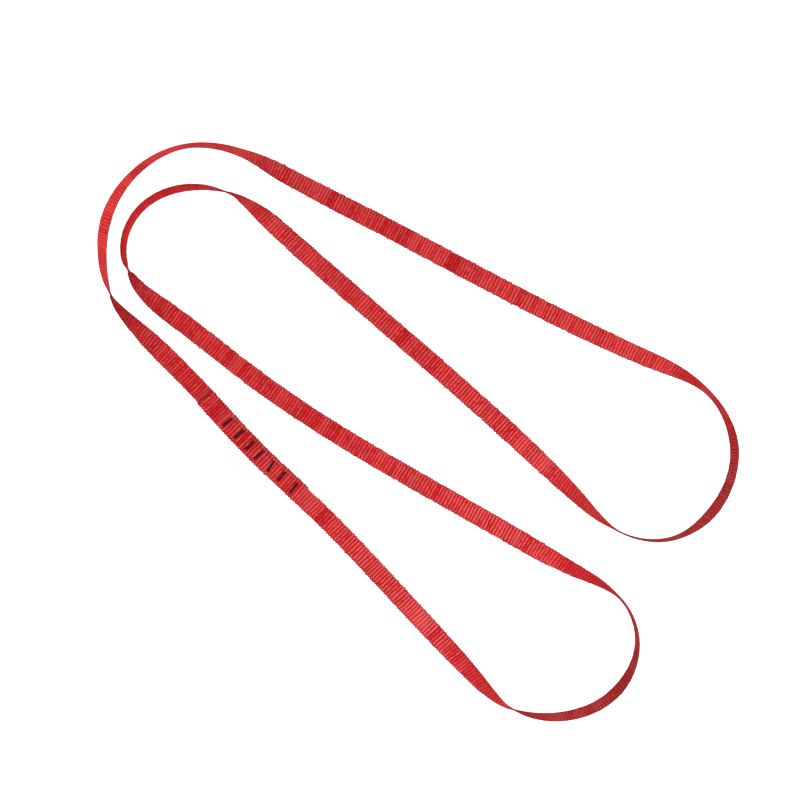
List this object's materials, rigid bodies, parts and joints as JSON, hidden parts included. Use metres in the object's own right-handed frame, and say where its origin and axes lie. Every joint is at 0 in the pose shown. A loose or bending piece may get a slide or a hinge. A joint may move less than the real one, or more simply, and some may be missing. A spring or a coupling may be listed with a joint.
{
  "type": "anchor sling",
  "caption": "Sewn webbing anchor sling for climbing, one flat red tape closed into a long loop by a bar-tacked lap, laid out in a folded L.",
  "frame": {"origin": "centre of the laid-out sling's bounding box, on the surface that it lies on", "axes": "+X along the longer side of the layout, to the right in the picture; +Y up in the picture; +Z up from the surface, out of the picture"},
  "size_m": [0.5012, 0.4527, 0.018],
  "materials": {
    "webbing_red": "woven nylon tape, ribbed across, low sheen",
    "needle_thread": "twisted bonded nylon thread",
    "bobbin_thread": "twisted bonded nylon thread"
  },
  "bodies": {
    "root": {"webbing": "webbing_red", "needle_thread_1": "needle_thread", "needle_thread_2": "needle_thread", "needle_thread_3": "needle_thread", "needle_thread_4": "needle_thread", "needle_thread_5": "needle_thread", "needle_thread_6": "needle_thread", "needle_thread_7": "needle_thread", "needle_jump_1": "needle_thread", "needle_jump_2": "needle_thread", "needle_jump_3": "needle_thread", "needle_jump_4": "needle_thread", "needle_jump_5": "needle_thread", "needle_jump_6": "needle_thread", "bobbin_thread_1": "bobbin_thread", "bobbin_thread_2": "bobbin_thread", "bobbin_thread_3": "bobbin_thread", "bobbin_thread_4": "bobbin_thread", "bobbin_thread_5": "bobbin_thread", "bobbin_thread_6": "bobbin_thread", "bobbin_thread_7": "bobbin_thread", "bobbin_jump_1": "bobbin_thread", "bobbin_jump_2": "bobbin_thread", "bobbin_jump_3": "bobbin_thread", "bobbin_jump_4": "bobbin_thread", "bobbin_jump_5": "bobbin_thread", "bobbin_jump_6": "bobbin_thread"}
  },
  "joints": []
}
